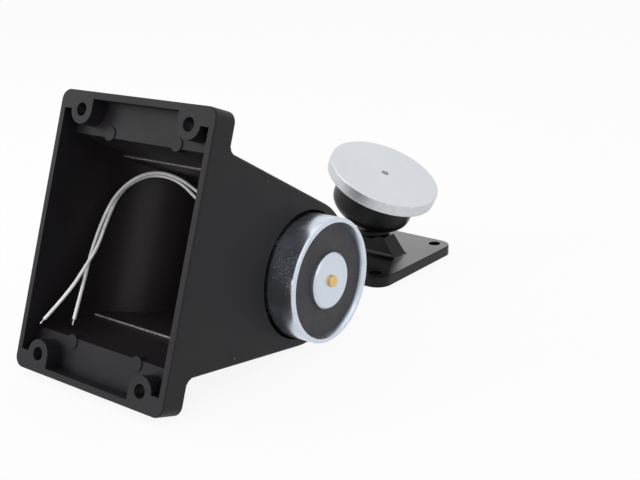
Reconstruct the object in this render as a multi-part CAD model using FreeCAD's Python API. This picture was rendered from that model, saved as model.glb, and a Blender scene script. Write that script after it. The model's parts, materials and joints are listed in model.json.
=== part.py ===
import FreeCAD
import Part
import math
import os

# Electromagnetic door holder, in millimetres.  Two units that work as a pair:
# the wall unit with the holding magnet, and the door keeper with its swivelling
# armature disc.  +X is the way the magnet faces, +Z is up.  The wall unit lies
# nose down, as set on a table, resting on its flange edge and its round nose.

# wall unit, flange
flange_w = 86.5          # across the magnet's axis
flange_h = 118.5         # along the mounting face
flange_d = 11.2          # front to back
flange_wall = 3.0        # rim round the pocket
flange_corner_r = 4.6
flange_edge_r = 0.7
pocket_d = 7.5           # mounting face down to the shelf
pocket_corner_r = 1.6

# wall unit, tapered body with a round nose
body_half_h = 44.2       # half height where the body leaves the flange
nose_lip = 3.8           # the round nose stands this far outside the magnet's hole
magnet_y = 75.4          # mounting face to the magnet's axis
body_wall = 2.8          # top, bottom and nose wall near the flange
side_wall = 3.0          # the side walls
shoulder_y = 34.0        # where the far side starts to draw in
shoulder_r = 22.0
waist_y = 74.0           # where it runs straight again
waist_x = 23.5           # far side of the nose, from the middle
body_edge_r = 1.2
body_root_r = 1.6
ledge_y = 37.0           # depth of the step inside the body
ledge_step = 1.3         # how far the step stands in
ledge_edge_r = 0.5

# wall unit, screw bosses
screw_side = 13.25       # screw centres from the flange's sides
screw_end = 7.85         # and from its top and bottom
screw_hole_r = 2.85
boss_r = 6.0
screw_seat_r = 5.2
screw_seat_d = 1.4
pad_r = 3.0              # round ejector pads on the shelf's inner edge
pad_side = 11.1          # pad centres inboard of the screws
pad_inset = 0.5          # and inside the body's outline
pad_rise = 0.5

# magnet and its seat
cup_r = 27.5
cup_len = 32.0
cup_wall = 3.15
cup_floor = 6.0
cup_edge_r = 0.9
proud = 14.0             # pole face in front of the side wall
seat_gap = 1.2           # round the magnet in its hole
well_wall = 3.0
well_floor = 3.5
coil_room = 11.95        # between the pole core and the cup's wall
core_bevel = 0.8
potting_recess = 2.1
potting_t = 3.0
bobbin_gap = 0.15
bobbin_wall = 1.0
winding_gap = 0.3

# release pin, its spring and the magnet's fixing screw
pin_r = 2.6
pin_run = 0.05
pin_proud = 1.6
pin_nose_len = 8.0
pin_flange_r = 4.4
pin_flange_len = 3.0
pin_travel = 1.5
pin_tip_r = 0.8
chamber_gap = 0.08       # round the pin's flange
spring_room = 4.5        # behind the flange when the pin is pressed in
spring_wire_r = 0.4
spring_turns = 5.0
spring_side_gap = 0.35
bolt_r = 4.0
bolt_head_af = 13.0
bolt_head_h = 5.3
bolt_crown = 0.5         # chamfer on the head's face
bolt_clear = 0.3
washer_r = 8.0
washer_t = 1.6
lock_r = 6.6
lock_t = 2.0
lock_gap = 1.0
lock_slant = 18.0        # degrees

# leads
lead_r = 0.75
tip_r = 0.5
tip_len = 2.6
grommet_r = 3.4
grommet_lip_r = 4.6
grommet_lip_t = 1.2
grommet_edge_r = 0.4
grommet_inset = 5.17     # its middle inside the cup's outer edge
grommet_turn = 38.8      # degrees round the magnet's axis, from the mounting side
lead_spread = 1.75       # each lead off the grommet's middle
lead_exit_len = 8.05     # straight out of the grommet

# keeper base
keeper_yaw = -3.0        # degrees, as it stands beside the wall unit
keeper_x = 8.9
keeper_y = 188.0
base_x = 60.0
base_y = 70.0
base_t = 5.2
base_corner_r = 8.0
base_edge_r = 0.5
base_hole_side = 8.5     # hole centres from the plate's long edges
base_hole_end = 7.0      # and from its short edges
base_hole_r = 3.2
foot_half_x = 17.3
foot_half_y = 5.6
foot_top_half_x = 10.2
foot_top_half_y = 4.6
foot_top_z = 15.4
foot_root_r = 2.8
collar_r = 9.2
collar_flare = 2.2       # how far below the collar its flare starts
collar_edge = 1.0
collar_top_z = 19.2

# keeper stud, ball and swivelling head
pivot_z = 33.3
stud_r = 4.0
stud_depth = 11.0
stud_hex_af = 11.0
stud_hex_h = 2.8
stud_hex_turn = 30.0      # degrees
stud_neck_r = 4.4
ball_r = 9.0
ball_flat = 7.85         # the ball's lower flat, below its centre
ball_bore_gap = 0.05
ball_socket_gap = 0.09
ball_cap_seat = 5.4      # the stud's rivet head sits this far above the centre
ball_cap_h = 1.6
ball_cap_r = 4.75
ball_cap_edge = 0.6
ball_cap_gap = 0.35
head_tilt = 25.4         # degrees, towards +X
disc_r = 30.0
disc_t = 6.5
disc_face_h = 18.5       # disc face above the ball's centre
disc_hole_r = 1.9
disc_hole_d = 1.8        # shallow, from the face
disc_edge_r = 0.7
bowl_r = 22.0            # its straight part, next to the disc
bowl_belly_h = -1.2      # where it starts to draw in, from the ball's centre
bowl_lip_r = 17.5
bowl_lip_h = -8.0
bowl_mouth_r = 16.0
bowl_mouth_h = -8.2
bowl_wall = 2.4
bowl_ceiling = 4.6       # plastic left between the hollow and the disc
socket_r = 13.0
socket_len = 4.6         # below the ball's centre
retainer_r = 11.2
retainer_len = 4.1
disc_screw_r = 2.0
disc_screw_head_r = 3.0
disc_screw_head_h = 2.2
disc_screw_edge_r = 0.8
disc_screw_head_gap = 0.15
disc_screw_circle = 16.3
disc_screw_len = 9.0
disc_screw_count = 3

overlap = 1.0            # how far cutters and joined stock run past a face
near = 0.01              # tolerance for picking edges
aligned = 0.0001         # tolerance for picking directions
arc_share = 0.45         # of the shorter run, taken by each arc along a lead

V = FreeCAD.Vector
X_AXIS = V(1, 0, 0)
Y_AXIS = V(0, 1, 0)
Z_AXIS = V(0, 0, 1)
ORIGIN = V(0, 0, 0)

# places that several pieces share, along the magnet's axis
side_x = flange_w / 2
face_x = side_x + proud
cup_back_x = face_x - cup_len
cup_floor_x = cup_back_x + cup_floor
well_back_x = cup_back_x - well_floor
flange_back_x = face_x - pin_nose_len
chamber_x = flange_back_x - pin_flange_len
chamber_len = pin_travel + spring_room
bolt_tip_x = chamber_x - chamber_len
bolt_seat_x = well_back_x - washer_t - lock_t
bore_r = cup_r + seat_gap
nose_r = bore_r + nose_lip
ring_r = cup_r - cup_wall
core_r = ring_r - coil_room
chamber_r = pin_flange_r + chamber_gap
grommet_reach = cup_r - grommet_inset
grommet_y = magnet_y - grommet_reach * math.cos(math.radians(grommet_turn))
grommet_z = grommet_reach * math.sin(math.radians(grommet_turn))
grommet_face_x = well_back_x - grommet_lip_t
lead_exit_x = grommet_face_x - lead_exit_len
lead_a_z = grommet_z + lead_spread
lead_b_z = grommet_z - lead_spread

# hole and pad centres, from the edges that they keep to
screw_x = flange_w / 2 - screw_side
screw_z = flange_h / 2 - screw_end
pad_x = screw_x - pad_side
pad_z = body_half_h - pad_inset
base_hole_x = base_x / 2 - base_hole_side
base_hole_y = base_y / 2 - base_hole_end


# helpers
def polygon(points):
    wire = Part.makePolygon([V(*p) for p in points + points[:1]])
    return Part.Face(wire)


def revolve_profile(points, axis_point, axis):
    return polygon(points).revolve(axis_point, axis, 360)


def x_cylinder(radius, x0, x1, y=0.0, z=0.0):
    return Part.makeCylinder(radius, x1 - x0, V(x0, y, z), X_AXIS)


def y_cylinder(radius, y0, y1, x, z):
    return Part.makeCylinder(radius, y1 - y0, V(x, y0, z), Y_AXIS)


def block(x0, x1, y0, y1, z0, z1):
    return Part.makeBox(x1 - x0, y1 - y0, z1 - z0, V(x0, y0, z0))


def fused(first, others):
    return first.fuse(others).removeSplitter()


def edges_along(shape, direction, length):
    """Straight edges of the given length that run along a direction."""
    found = []
    for edge in shape.Edges:
        if len(edge.Vertexes) != 2 or abs(edge.Length - length) > near:
            continue
        run = edge.Vertexes[1].Point.sub(edge.Vertexes[0].Point)
        if run.Length < near:
            continue
        if abs(abs(run.normalize().dot(direction)) - 1) < aligned:
            found.append(edge)
    return found


def rounded_slab(w, h, y0, y1, corner_r):
    """Slab in the X-Z plane with round corners, y0 to y1 thick."""
    slab = block(-w / 2, w / 2, y0, y1, -h / 2, h / 2)
    return slab.makeFillet(corner_r, edges_along(slab, Y_AXIS, y1 - y0))


def hex_prism(across_flats, height, base, turn=0.0):
    """Six-sided prism along +Z from a base point."""
    reach = across_flats / math.sqrt(3)
    ring = []
    for i in range(6):
        a = math.radians(60 * i + turn)
        ring.append(V(base.x + reach * math.cos(a), base.y + reach * math.sin(a), base.z))
    return Part.Face(Part.makePolygon(ring + ring[:1])).extrude(V(0, 0, height))


# wall unit housing
def tangent_touch(start_y, start_z, radius):
    """Where a line from the start point touches the nose circle's upper side."""
    dy = magnet_y - start_y
    reach = math.hypot(dy, start_z)
    slope = math.atan2(-start_z, dy) + math.asin(radius / reach)
    along = math.sqrt(reach * reach - radius * radius)
    return start_y + along * math.cos(slope), start_z + along * math.sin(slope), slope


def body_profile(offset, start_y, x):
    """Side outline of the body, moved inwards by an offset."""
    radius = nose_r - offset
    touch_y, touch_z, slope = tangent_touch(flange_d, body_half_h, nose_r)
    touch_y += offset * math.sin(slope)
    touch_z -= offset * math.cos(slope)
    start_z = touch_z + (touch_y - start_y) * math.tan(-slope)
    top = V(x, start_y, start_z)
    low = V(x, start_y, -start_z)
    touch = V(x, touch_y, touch_z)
    touch_low = V(x, touch_y, -touch_z)
    tip = V(x, magnet_y + radius, 0)
    edges = [
        Part.LineSegment(low, top).toShape(),
        Part.LineSegment(top, touch).toShape(),
        Part.Arc(touch, tip, touch_low).toShape(),
        Part.LineSegment(touch_low, low).toShape(),
    ]
    return Part.Face(Part.Wire(edges))


def plan_slab(offset, start_y):
    """The body seen from above: straight magnet side, far side drawn in."""
    near = side_x - offset
    far = offset - side_x
    end_y = magnet_y + nose_r + overlap
    reach = side_x - waist_x
    depth = waist_y - shoulder_y
    turn = 2 * math.atan(reach / depth)
    first = shoulder_r - offset
    second = depth / math.sin(turn) - shoulder_r + offset
    half = turn / 2
    z = -flange_h / 2
    start = V(far, shoulder_y, z)
    mid_a = V(far + first * (1 - math.cos(half)), shoulder_y + first * math.sin(half), z)
    bend = V(far + first * (1 - math.cos(turn)), shoulder_y + first * math.sin(turn), z)
    waist = V(far + reach, waist_y, z)
    mid_b = V(waist.x - second * (1 - math.cos(half)), waist_y - second * math.sin(half), z)
    corners = [V(far, start_y, z), V(near, start_y, z), V(near, end_y, z), V(waist.x, end_y, z)]
    edges = [
        Part.LineSegment(corners[0], start).toShape(),
        Part.Arc(start, mid_a, bend).toShape(),
        Part.Arc(bend, mid_b, waist).toShape(),
        Part.LineSegment(waist, corners[3]).toShape(),
        Part.LineSegment(corners[3], corners[2]).toShape(),
        Part.LineSegment(corners[2], corners[1]).toShape(),
        Part.LineSegment(corners[1], corners[0]).toShape(),
    ]
    return Part.Face(Part.Wire(edges)).extrude(V(0, 0, flange_h))


def body_outer():
    start_y = pocket_d
    solid = body_profile(0, start_y, -side_x).extrude(V(flange_w, 0, 0))
    solid = solid.common(plan_slab(0, start_y))
    rim = []
    for edge in solid.Edges:
        box = edge.BoundBox
        across = box.XMax > side_x - near and box.XMin < waist_x - side_x
        upright = box.YLength < near
        if box.YMax > start_y + near and not across and not upright:
            rim.append(edge)
    return solid.makeFillet(body_edge_r, rim)


def body_root(sign):
    """Small cove where the tapered body meets the flange."""
    touch_y, touch_z, slope = tangent_touch(flange_d, body_half_h, nose_r)
    y0, z0 = flange_d, body_half_h
    y1 = y0 + body_root_r * math.cos(slope)
    z1 = z0 + body_root_r * math.sin(slope)
    half = (math.pi / 2 - slope) / 2
    sag = body_root_r * (1 / math.cos(half) - math.tan(half))
    corner = V(-side_x, y0 - overlap, z0 - overlap)
    high = V(-side_x, y0 - overlap, z0 + body_root_r)
    start = V(-side_x, y0, z0 + body_root_r)
    far = V(-side_x, y1, z1)
    low = V(-side_x, y1, z0 - overlap)
    mid = V(-side_x, y0 + sag * math.sin(half), z0 + sag * math.cos(half))
    edges = [
        Part.LineSegment(corner, high).toShape(),
        Part.LineSegment(high, start).toShape(),
        Part.Arc(start, mid, far).toShape(),
        Part.LineSegment(far, low).toShape(),
        Part.LineSegment(low, corner).toShape(),
    ]
    cove = Part.Face(Part.Wire(edges)).extrude(V(flange_w, 0, 0))
    if sign < 0:
        cove = cove.mirror(ORIGIN, Z_AXIS)
    return cove


def flange_outer():
    slab = rounded_slab(flange_w, flange_h, 0, flange_d, flange_corner_r)
    rim = []
    for edge in slab.Edges:
        box = edge.BoundBox
        if box.YLength < near:
            rim.append(edge)
    return slab.makeFillet(flange_edge_r, rim)


def pocket_cut():
    """Pocket inside the flange's rim, less the bosses and the ends beyond them."""
    w = flange_w - 2 * flange_wall
    h = flange_h - 2 * flange_wall
    cut = rounded_slab(w, h, -overlap, pocket_d, pocket_corner_r)
    keep = []
    y0, y1 = -2 * overlap, pocket_d + overlap
    for sx in (-1, 1):
        for sz in (-1, 1):
            x, z = sx * screw_x, sz * screw_z
            keep.append(y_cylinder(boss_r, y0, y1, x, z))
            x0, x1 = sorted((x - sx * boss_r, sx * side_x))
            z0, z1 = sorted((z, sz * flange_h / 2))
            keep.append(block(x0, x1, y0, y1, z0, z1))
    return cut.cut(keep)


def magnet_well():
    return x_cylinder(bore_r + well_wall, well_back_x, side_x, magnet_y, 0)


def cavity_cut():
    """The hollow of the body in two depths, with the magnet's well left in."""
    span = flange_w - 2 * side_wall
    plan = plan_slab(side_wall, pocket_d - overlap)
    front = body_profile(body_wall, pocket_d - overlap, -span / 2).extrude(V(span, 0, 0))
    front = front.common(block(-span, span, 0, ledge_y, -flange_h, flange_h))
    deep = body_profile(body_wall + ledge_step, ledge_y - overlap, -span / 2)
    deep = deep.extrude(V(span, 0, 0))
    both = fused(front, [deep]).common(plan)
    lips = []
    for edge in both.Edges:
        box = edge.BoundBox
        level = box.YMin > ledge_y - near and box.YMax < ledge_y + near
        if level and box.XLength > span / 2 and abs(box.ZMin) < body_lip_z() + near:
            lips.append(edge)
    both = both.makeFillet(ledge_edge_r, lips)
    return both.cut(magnet_well())


def body_lip_z():
    """Half height of the deeper hollow at the step."""
    touch_y, touch_z, slope = tangent_touch(flange_d, body_half_h, nose_r)
    outer = touch_z + (touch_y - ledge_y) * math.tan(-slope)
    return outer - (body_wall + ledge_step) / math.cos(slope)


def shelf_pads():
    """Round pads at the shelf's inner edge, with their slight overhang."""
    pads = []
    for sx in (-1, 1):
        for sz in (-1, 1):
            y0 = pocket_d - pad_rise
            pads.append(y_cylinder(pad_r, y0, flange_d, sx * pad_x, sz * pad_z))
    return pads


def housing():
    coves = [body_root(1), body_root(-1)]
    shell = fused(flange_outer(), [body_outer()] + coves)
    shell = shell.cut([pocket_cut(), cavity_cut()])
    shell = fused(shell, shelf_pads())
    floor_x0, floor_x1 = well_back_x - overlap, cup_back_x + overlap
    cuts = [x_cylinder(bore_r, cup_back_x, side_x + overlap, magnet_y, 0)]
    cuts.append(x_cylinder(bolt_r + bolt_clear, floor_x0, floor_x1, magnet_y, 0))
    cuts.append(x_cylinder(grommet_r, floor_x0, floor_x1, grommet_y, grommet_z))
    for sx in (-1, 1):
        for sz in (-1, 1):
            x, z = sx * screw_x, sz * screw_z
            y1 = flange_d + overlap
            cuts.append(y_cylinder(screw_hole_r, -overlap, y1, x, z))
            cuts.append(y_cylinder(screw_seat_r, flange_d - screw_seat_d, y1, x, z))
    return shell.cut(cuts).removeSplitter()


# magnet parts
def on_axis(points):
    """Revolves (x, radius) points about the magnet's axis."""
    return revolve_profile([(x, magnet_y, r) for x, r in points], V(0, magnet_y, 0), X_AXIS)


def magnet_cup():
    cup = on_axis([
        (cup_back_x, bolt_r + bolt_clear), (cup_back_x, cup_r), (face_x, cup_r),
        (face_x, ring_r), (cup_floor_x, ring_r), (cup_floor_x, bolt_r + bolt_clear),
    ])
    rim = []
    for edge in cup.Edges:
        box = edge.BoundBox
        if box.XMin > face_x - near and abs(box.ZMax - cup_r) < near:
            rim.append(edge)
    cup = cup.makeFillet(cup_edge_r, rim)
    x0, x1 = cup_back_x - overlap, cup_floor_x + overlap
    return cup.cut(x_cylinder(grommet_r, x0, x1, grommet_y, grommet_z))


def pole_core():
    bevel = core_bevel
    return on_axis([
        (cup_floor_x, bolt_r), (cup_floor_x, core_r), (face_x - bevel, core_r),
        (face_x, core_r - bevel), (face_x, pin_r + pin_run),
        (flange_back_x, pin_r + pin_run), (flange_back_x, chamber_r),
        (bolt_tip_x, chamber_r), (bolt_tip_x, bolt_r),
    ])


def potting_ring():
    x1 = face_x - potting_recess
    x0 = x1 - potting_t
    return on_axis([(x0, core_r), (x0, ring_r), (x1, ring_r), (x1, core_r)])


def coil_bobbin():
    inner = core_r + bobbin_gap
    tube = inner + bobbin_wall
    outer = ring_r - bobbin_gap
    x0 = cup_floor_x
    x1 = face_x - potting_recess - potting_t
    return on_axis([
        (x0, inner), (x0, outer), (x0 + bobbin_wall, outer), (x0 + bobbin_wall, tube),
        (x1 - bobbin_wall, tube), (x1 - bobbin_wall, outer), (x1, outer), (x1, inner),
    ])


def coil_winding():
    tube = core_r + bobbin_gap + bobbin_wall
    outer = ring_r - bobbin_gap - winding_gap
    x0 = cup_floor_x + bobbin_wall
    x1 = face_x - potting_recess - potting_t - bobbin_wall
    return on_axis([(x0, tube), (x0, outer), (x1, outer), (x1, tube)])


def release_pin():
    tip = face_x + pin_proud
    pin = on_axis([
        (chamber_x, 0), (chamber_x, pin_flange_r), (flange_back_x, pin_flange_r),
        (flange_back_x, pin_r), (tip, pin_r), (tip, 0),
    ])
    return pin.makeFillet(pin_tip_r, [e for e in pin.Edges if e.BoundBox.XMin > tip - near])


def pin_spring():
    """Helical spring between the pin's flange and the fixing screw's tip."""
    radius = chamber_r - spring_side_gap - spring_wire_r
    length = chamber_len - 2 * spring_wire_r
    helix = Part.makeHelix(length / spring_turns, length, radius)
    section = Part.Wire(Part.makeCircle(spring_wire_r, V(radius, 0, 0), Y_AXIS))
    coil = Part.Wire(helix.Edges).makePipeShell([section], True, True)
    coil.rotate(ORIGIN, Y_AXIS, 90)
    coil.translate(V(bolt_tip_x + spring_wire_r, magnet_y, 0))
    return coil


def magnet_screw():
    shank = Part.makeCylinder(bolt_r, bolt_tip_x - bolt_seat_x)
    head = hex_prism(bolt_head_af, bolt_head_h, V(0, 0, -bolt_head_h))
    crown_r = bolt_head_af / 2 - bolt_crown
    crown = Part.makeCone(crown_r, crown_r + 2 * bolt_head_h, bolt_head_h, V(0, 0, -bolt_head_h))
    bolt = fused(shank, [head.common(crown)])
    bolt.rotate(ORIGIN, Y_AXIS, 90)
    bolt.translate(V(bolt_seat_x, magnet_y, 0))
    return bolt


def flat_washer():
    x0, x1 = well_back_x - washer_t, well_back_x
    hole = bolt_r + bolt_clear
    return on_axis([(x0, hole), (x0, washer_r), (x1, washer_r), (x1, hole)])


def lock_washer():
    """Split spring washer: a ring with one slanted gap."""
    x0, x1 = bolt_seat_x, bolt_seat_x + lock_t
    hole = bolt_r + bolt_clear
    ring = on_axis([(x0, hole), (x0, lock_r), (x1, lock_r), (x1, hole)])
    y0, y1 = magnet_y - lock_gap / 2, magnet_y + lock_gap / 2
    gap = block(x0 - overlap, x1 + overlap, y0, y1, 0, lock_r + overlap)
    gap.rotate(V((x0 + x1) / 2, magnet_y, 0), Z_AXIS, lock_slant)
    return ring.cut(gap)


def lead_grommet():
    """Sleeve in the well's floor, drilled for the two leads."""
    x0, x1 = grommet_face_x, cup_floor_x
    sleeve = x_cylinder(grommet_r, well_back_x, x1, grommet_y, grommet_z)
    lip = x_cylinder(grommet_lip_r, x0, well_back_x, grommet_y, grommet_z)
    lip = lip.makeFillet(grommet_edge_r, [e for e in lip.Edges if e.BoundBox.XMax < x0 + near])
    sleeve = fused(sleeve, [lip])
    holes = []
    for path in (lead_a_points, lead_b_points):
        start = path[0]
        holes.append(x_cylinder(lead_r, x0, x1 + overlap, start[1], start[2]))
    return sleeve.cut(holes)


# leads
# Routes as chosen by eye, in the wall unit's own upright frame: from the
# grommet behind the magnet, over in a bow and down to the stripped ends.
lead_a_points = [
    (grommet_face_x, grommet_y, lead_a_z), (lead_exit_x, grommet_y, lead_a_z),
    (2.0, 57.0, 20.5), (-8.7, 55.0, 26.8),
    (-16.0, 50.0, 31.2), (-22.9, 44.0, 32.3), (-28.7, 38.0, 29.4),
    (-34.5, 33.0, 22.4), (-36.0, 29.0, 12.7), (-33.7, 23.0, -5.3),
    (-28.8, 16.5, -20.6), (-23.3, 10.1, -35.2),
]
lead_b_points = [
    (grommet_face_x, grommet_y, lead_b_z), (lead_exit_x, grommet_y, lead_b_z),
    (1.5, 57.3, 17.5), (-9.4, 55.5, 23.8),
    (-16.9, 51.5, 29.3), (-24.4, 46.0, 30.5), (-30.3, 40.0, 27.7),
    (-35.4, 34.5, 19.7), (-33.0, 27.5, 7.2), (-30.5, 21.5, -4.0),
    (-30.0, 17.0, -11.1), (-31.3, 9.5, -24.8), (-36.1, 5.5, -38.0),
]


def tube_path(points):
    """Straight runs joined by tangent arcs, each as large as its runs allow."""
    pts = [V(*p) for p in points]
    edges = []
    radii = []
    here = pts[0]
    for i in range(1, len(pts) - 1):
        back = pts[i - 1].sub(pts[i])
        ahead = pts[i + 1].sub(pts[i])
        run = min(back.Length, ahead.Length)
        turn = math.pi - back.getAngle(ahead)
        cut = arc_share * run
        radius = cut / math.tan(turn / 2)
        back.normalize()
        ahead.normalize()
        a = pts[i].add(back.multiply(cut))
        b = pts[i].add(ahead.multiply(cut))
        middle = a.add(b).multiply(0.5).sub(pts[i])
        middle.normalize()
        sag = radius / math.cos(turn / 2) - radius
        m = pts[i].add(middle.multiply(sag))
        edges.append(Part.LineSegment(here, a).toShape())
        edges.append(Part.Arc(a, m, b).toShape())
        radii.append(radius)
        here = b
    edges.append(Part.LineSegment(here, pts[-1]).toShape())
    return Part.Wire(edges), radii


def round_tube(points, radius):
    wire, radii = tube_path(points)
    start, after = V(*points[0]), V(*points[1])
    section = Part.Wire(Part.makeCircle(radius, start, after.sub(start)))
    tube = wire.makePipeShell([section], True, False)
    wanted = math.pi * radius * radius * wire.Length
    print("tube length", round(wire.Length, 2), "volume ratio", round(tube.Volume / wanted, 4),
          "arc radii", [round(r, 1) for r in radii])
    return tube


def lead_tip(points):
    """Tinned end of the stripped core, straight on from the last run."""
    end, before = V(*points[-1]), V(*points[-2])
    way = end.sub(before).normalize()
    return Part.makeCylinder(tip_r, tip_len, end, way)


# keeper base
def loft_between(half_x0, half_y0, z0, half_x1, half_y1, z1):
    wires = []
    for hx, hy, z in ((half_x0, half_y0, z0), (half_x1, half_y1, z1)):
        ring = [V(-hx, -hy, z), V(hx, -hy, z), V(hx, hy, z), V(-hx, hy, z)]
        wires.append(Part.makePolygon(ring + ring[:1]))
    return Part.makeLoft(wires, True, True)


def keeper_plate():
    plate = block(-base_x / 2, base_x / 2, -base_y / 2, base_y / 2, 0, base_t)
    plate = plate.makeFillet(base_corner_r, edges_along(plate, Z_AXIS, base_t))
    rim = [e for e in plate.Edges if e.BoundBox.ZMin > base_t - near]
    return plate.makeFillet(base_edge_r, rim)


def keeper_base():
    """Plate, wedge-shaped pedestal and round collar, moulded in one."""
    foot = loft_between(foot_half_x, foot_half_y, base_t,
                        foot_top_half_x, foot_top_half_y, foot_top_z)
    body = fused(keeper_plate(), [foot])
    root = []
    for edge in body.Edges:
        box = edge.BoundBox
        level = box.ZMin > base_t - near and box.ZMax < base_t + near
        if level and box.XMax < foot_half_x + near and box.YMax < foot_half_y + near:
            root.append(edge)
    body = body.makeFillet(foot_root_r, root)
    z0 = foot_top_z - collar_flare
    collar = revolve_profile([
        (0, 0, z0), (foot_top_half_y, 0, z0), (collar_r, 0, foot_top_z + collar_edge),
        (collar_r, 0, collar_top_z - collar_edge), (collar_r - collar_edge, 0, collar_top_z),
        (0, 0, collar_top_z),
    ], ORIGIN, Z_AXIS)
    body = fused(body, [collar])
    bore_z = collar_top_z - stud_depth
    cuts = [Part.makeCylinder(stud_r, stud_depth + overlap, V(0, 0, bore_z))]
    for sx in (-1, 1):
        for sy in (-1, 1):
            at = V(sx * base_hole_x, sy * base_hole_y, -overlap)
            cuts.append(Part.makeCylinder(base_hole_r, base_t + 2 * overlap, at))
    return body.cut(cuts).removeSplitter()


def ball_stud():
    """Threaded stud with a hexagon, a shoulder under the ball and a rivet head."""
    shoulder_z = pivot_z - ball_flat
    seat_z = pivot_z + ball_cap_seat
    top_z = seat_z + ball_cap_h
    turned = revolve_profile([
        (0, 0, collar_top_z - stud_depth), (stud_r, 0, collar_top_z - stud_depth),
        (stud_r, 0, collar_top_z), (stud_neck_r, 0, collar_top_z),
        (stud_neck_r, 0, shoulder_z), (stud_r, 0, shoulder_z), (stud_r, 0, seat_z),
        (ball_cap_r, 0, seat_z), (ball_cap_r, 0, top_z - ball_cap_edge),
        (ball_cap_r - ball_cap_edge, 0, top_z), (0, 0, top_z),
    ], ORIGIN, Z_AXIS)
    nut = hex_prism(stud_hex_af, stud_hex_h, V(0, 0, collar_top_z), stud_hex_turn)
    return fused(turned, [nut])


def pivot_ball():
    ball = Part.makeSphere(ball_r, V(0, 0, pivot_z))
    low_z = pivot_z - ball_r
    cuts = [Part.makeCylinder(stud_r + ball_bore_gap, 2 * ball_r, V(0, 0, low_z))]
    seat = V(0, 0, pivot_z + ball_cap_seat)
    cuts.append(Part.makeCylinder(ball_cap_r + ball_cap_gap, ball_r, seat))
    cuts.append(block(-ball_r, ball_r, -ball_r, ball_r, low_z, pivot_z - ball_flat))
    return ball.cut(cuts)


# keeper head, drawn about its own axis: the ball's centre at the origin, disc up
disc_back_h = disc_face_h - disc_t
hollow_top_h = disc_back_h - bowl_ceiling


def bowl_depth():
    """Lower half axis of the bowl's oval, so that it passes through the lip."""
    share = bowl_lip_r / bowl_r
    return (bowl_belly_h - bowl_lip_h) / math.sqrt(1 - share * share)


def oval_arc(wide, deep, low_h):
    """Arc of an oval round the head's axis, from its widest down to a height."""
    middle = V(0, 0, bowl_belly_h)
    long_point = V(wide, 0, bowl_belly_h)
    short_point = V(0, 0, bowl_belly_h - deep)
    a1 = math.asin((bowl_belly_h - low_h) / deep)
    return Part.ArcOfEllipse(Part.Ellipse(long_point, short_point, middle), 0, a1).toShape()


def oval_height(wide, deep, radius):
    return bowl_belly_h - deep * math.sqrt(1 - radius * radius / wide / wide)


def line_edge(a, b):
    return Part.LineSegment(a, b).toShape()


def swivel_head():
    """Moulded bowl: outer shell, hollow and the socket for the ball."""
    wide, deep = bowl_r - bowl_wall, bowl_depth() - bowl_wall
    outer = oval_arc(bowl_r, bowl_depth(), bowl_lip_h)
    inner = oval_arc(wide, deep, oval_height(wide, deep, bowl_mouth_r))
    back = V(bowl_r, 0, disc_back_h)
    hollow = V(wide, 0, hollow_top_h)
    lip = V(bowl_mouth_r, 0, bowl_mouth_h)
    socket_top = V(socket_r, 0, hollow_top_h)
    socket_low = V(socket_r, 0, -socket_len)
    loop = [
        line_edge(V(0, 0, disc_back_h), back),
        line_edge(back, outer.Vertexes[0].Point),
        outer,
        line_edge(outer.Vertexes[-1].Point, lip),
        line_edge(lip, inner.Vertexes[-1].Point),
        inner,
        line_edge(inner.Vertexes[0].Point, hollow),
        line_edge(hollow, socket_top),
        line_edge(socket_top, socket_low),
        line_edge(socket_low, V(0, 0, -socket_len)),
        line_edge(V(0, 0, -socket_len), V(0, 0, disc_back_h)),
    ]
    profile = Part.Wire(Part.__sortEdges__(loop))
    solid = Part.Face(profile).revolve(ORIGIN, Z_AXIS, 360)
    cuts = [Part.makeSphere(ball_r + ball_socket_gap)]
    cuts.append(Part.makeCylinder(retainer_r, socket_len, V(0, 0, -socket_len)))
    for at in disc_screw_places():
        base = V(at.x, at.y, hollow_top_h - overlap)
        cuts.append(Part.makeCylinder(disc_screw_r, bowl_ceiling + 2 * overlap, base))
        room = V(at.x, at.y, hollow_top_h - disc_screw_head_h - disc_screw_head_gap)
        cuts.append(Part.makeCylinder(disc_screw_head_r + disc_screw_head_gap,
                                      hollow_top_h - room.z, room))
    return solid.cut(cuts)


def ball_retainer():
    """Ring pressed into the socket, closing it under the ball's middle."""
    ring = Part.makeCylinder(retainer_r, retainer_len, V(0, 0, -retainer_len))
    return ring.cut(Part.makeSphere(ball_r + ball_socket_gap))


def disc_screw_places():
    places = []
    for i in range(disc_screw_count):
        a = math.radians(90 + i * 360 / disc_screw_count)
        places.append(V(disc_screw_circle * math.cos(a), disc_screw_circle * math.sin(a), 0))
    return places


def armature_disc():
    disc = Part.makeCylinder(disc_r, disc_t, V(0, 0, disc_back_h))
    rim = [e for e in disc.Edges if e.BoundBox.ZLength < near]
    disc = disc.makeFillet(disc_edge_r, rim)
    back = V(0, 0, disc_back_h - overlap)
    hole = V(0, 0, disc_face_h - disc_hole_d)
    cuts = [Part.makeCylinder(disc_hole_r, disc_hole_d + overlap, hole)]
    depth = disc_screw_len - bowl_ceiling
    for at in disc_screw_places():
        cuts.append(Part.makeCylinder(disc_screw_r, depth + overlap, back + at))
    return disc.cut(cuts)


def disc_screws():
    """Three pan-head screws that clamp the bowl to the disc from inside."""
    made = []
    for at in disc_screw_places():
        shank = Part.makeCylinder(disc_screw_r, disc_screw_len, V(at.x, at.y, hollow_top_h))
        head = Part.makeCylinder(disc_screw_head_r, disc_screw_head_h,
                                 V(at.x, at.y, hollow_top_h - disc_screw_head_h))
        low_h = hollow_top_h - disc_screw_head_h
        low = [e for e in head.Edges if e.BoundBox.ZMax < low_h + near]
        made.append(fused(shank, [head.makeFillet(disc_screw_edge_r, low)]))
    return Part.makeCompound(made)


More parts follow.
